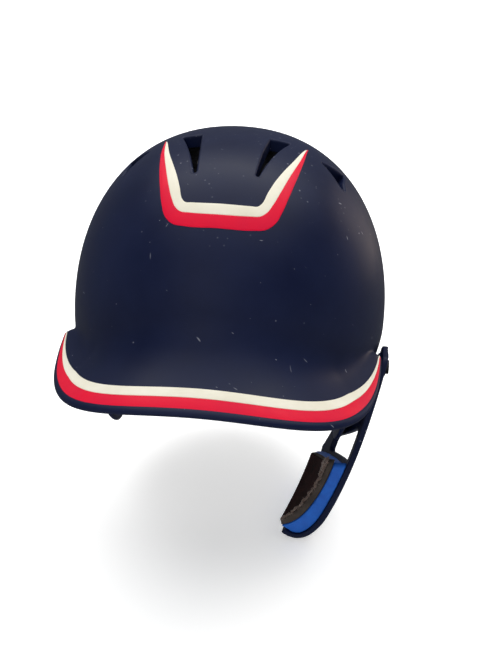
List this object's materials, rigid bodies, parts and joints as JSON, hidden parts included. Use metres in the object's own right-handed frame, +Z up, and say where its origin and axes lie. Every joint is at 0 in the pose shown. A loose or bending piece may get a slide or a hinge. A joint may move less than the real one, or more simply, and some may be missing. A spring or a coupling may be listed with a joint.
{
  "type": "batting helmet",
  "caption": "Batting helmet with a short brim, ear flaps, vents, striped trim and a padded jaw guard bolted to one side on a slotted, adjustable mount.",
  "frame": {"origin": "middle of the shell's widest level, where the wearer's head sits", "axes": "+Z up through the crown, -Y forward over the brim, +X towards the wearer's left"},
  "size_m": [0.2119, 0.29, 0.257],
  "materials": {
    "navy_abs": "satin moulded ABS, navy, lightly scuffed",
    "red_vinyl": "satin red vinyl stripe",
    "cream_vinyl": "satin off-white vinyl stripe",
    "liner_foam": "black expanded foam with moulded bead skin",
    "comfort_fabric": "brushed dark fabric over soft foam",
    "ear_foam": "black fabric-faced foam",
    "blue_foam": "closed-cell blue foam",
    "grey_foam": "grey-brown open foam with a cut edge",
    "brushed_lining": "brushed dark brown lining with a frayed edge",
    "spacer_rubber": "matt black rubber",
    "zinc_steel": "black zinc-plated steel, dulled",
    "nickel_brass": "nickel-plated brass"
  },
  "bodies": {
    "helmet": {"outer_shell": "navy_abs", "brim_stripe_red": "red_vinyl", "brim_stripe_white": "cream_vinyl", "crown_decal_red": "red_vinyl", "crown_decal_white": "cream_vinyl", "liner_front": "liner_foam", "liner_crown": "liner_foam", "liner_left": "liner_foam", "liner_right": "liner_foam", "liner_rear": "liner_foam", "brow_pad": "comfort_fabric", "crown_pad": "comfort_fabric", "side_pad_left": "comfort_fabric", "side_pad_right": "comfort_fabric", "nape_pad": "comfort_fabric", "ear_pad_left": "ear_foam", "ear_pad_right": "ear_foam", "guard_spacers": "spacer_rubber", "screw_washers": "zinc_steel", "pivot_screw": "zinc_steel", "clamp_screws": "zinc_steel", "tee_nuts": "zinc_steel", "strap_studs": "nickel_brass", "strap_stud_backs": "nickel_brass"},
    "jaw_guard": {"jaw_guard_plate": "navy_abs", "jaw_foam": "blue_foam", "jaw_pad": "grey_foam", "jaw_pad_lining": "brushed_lining"}
  },
  "joints": [
    {"name": "guard_angle", "type": "hinge", "parent": "helmet", "child": "jaw_guard", "pos_m": [0.09, 0.002, -0.08], "axis": [1, 0, 0], "range_deg": [-3, 3]}
  ]
}
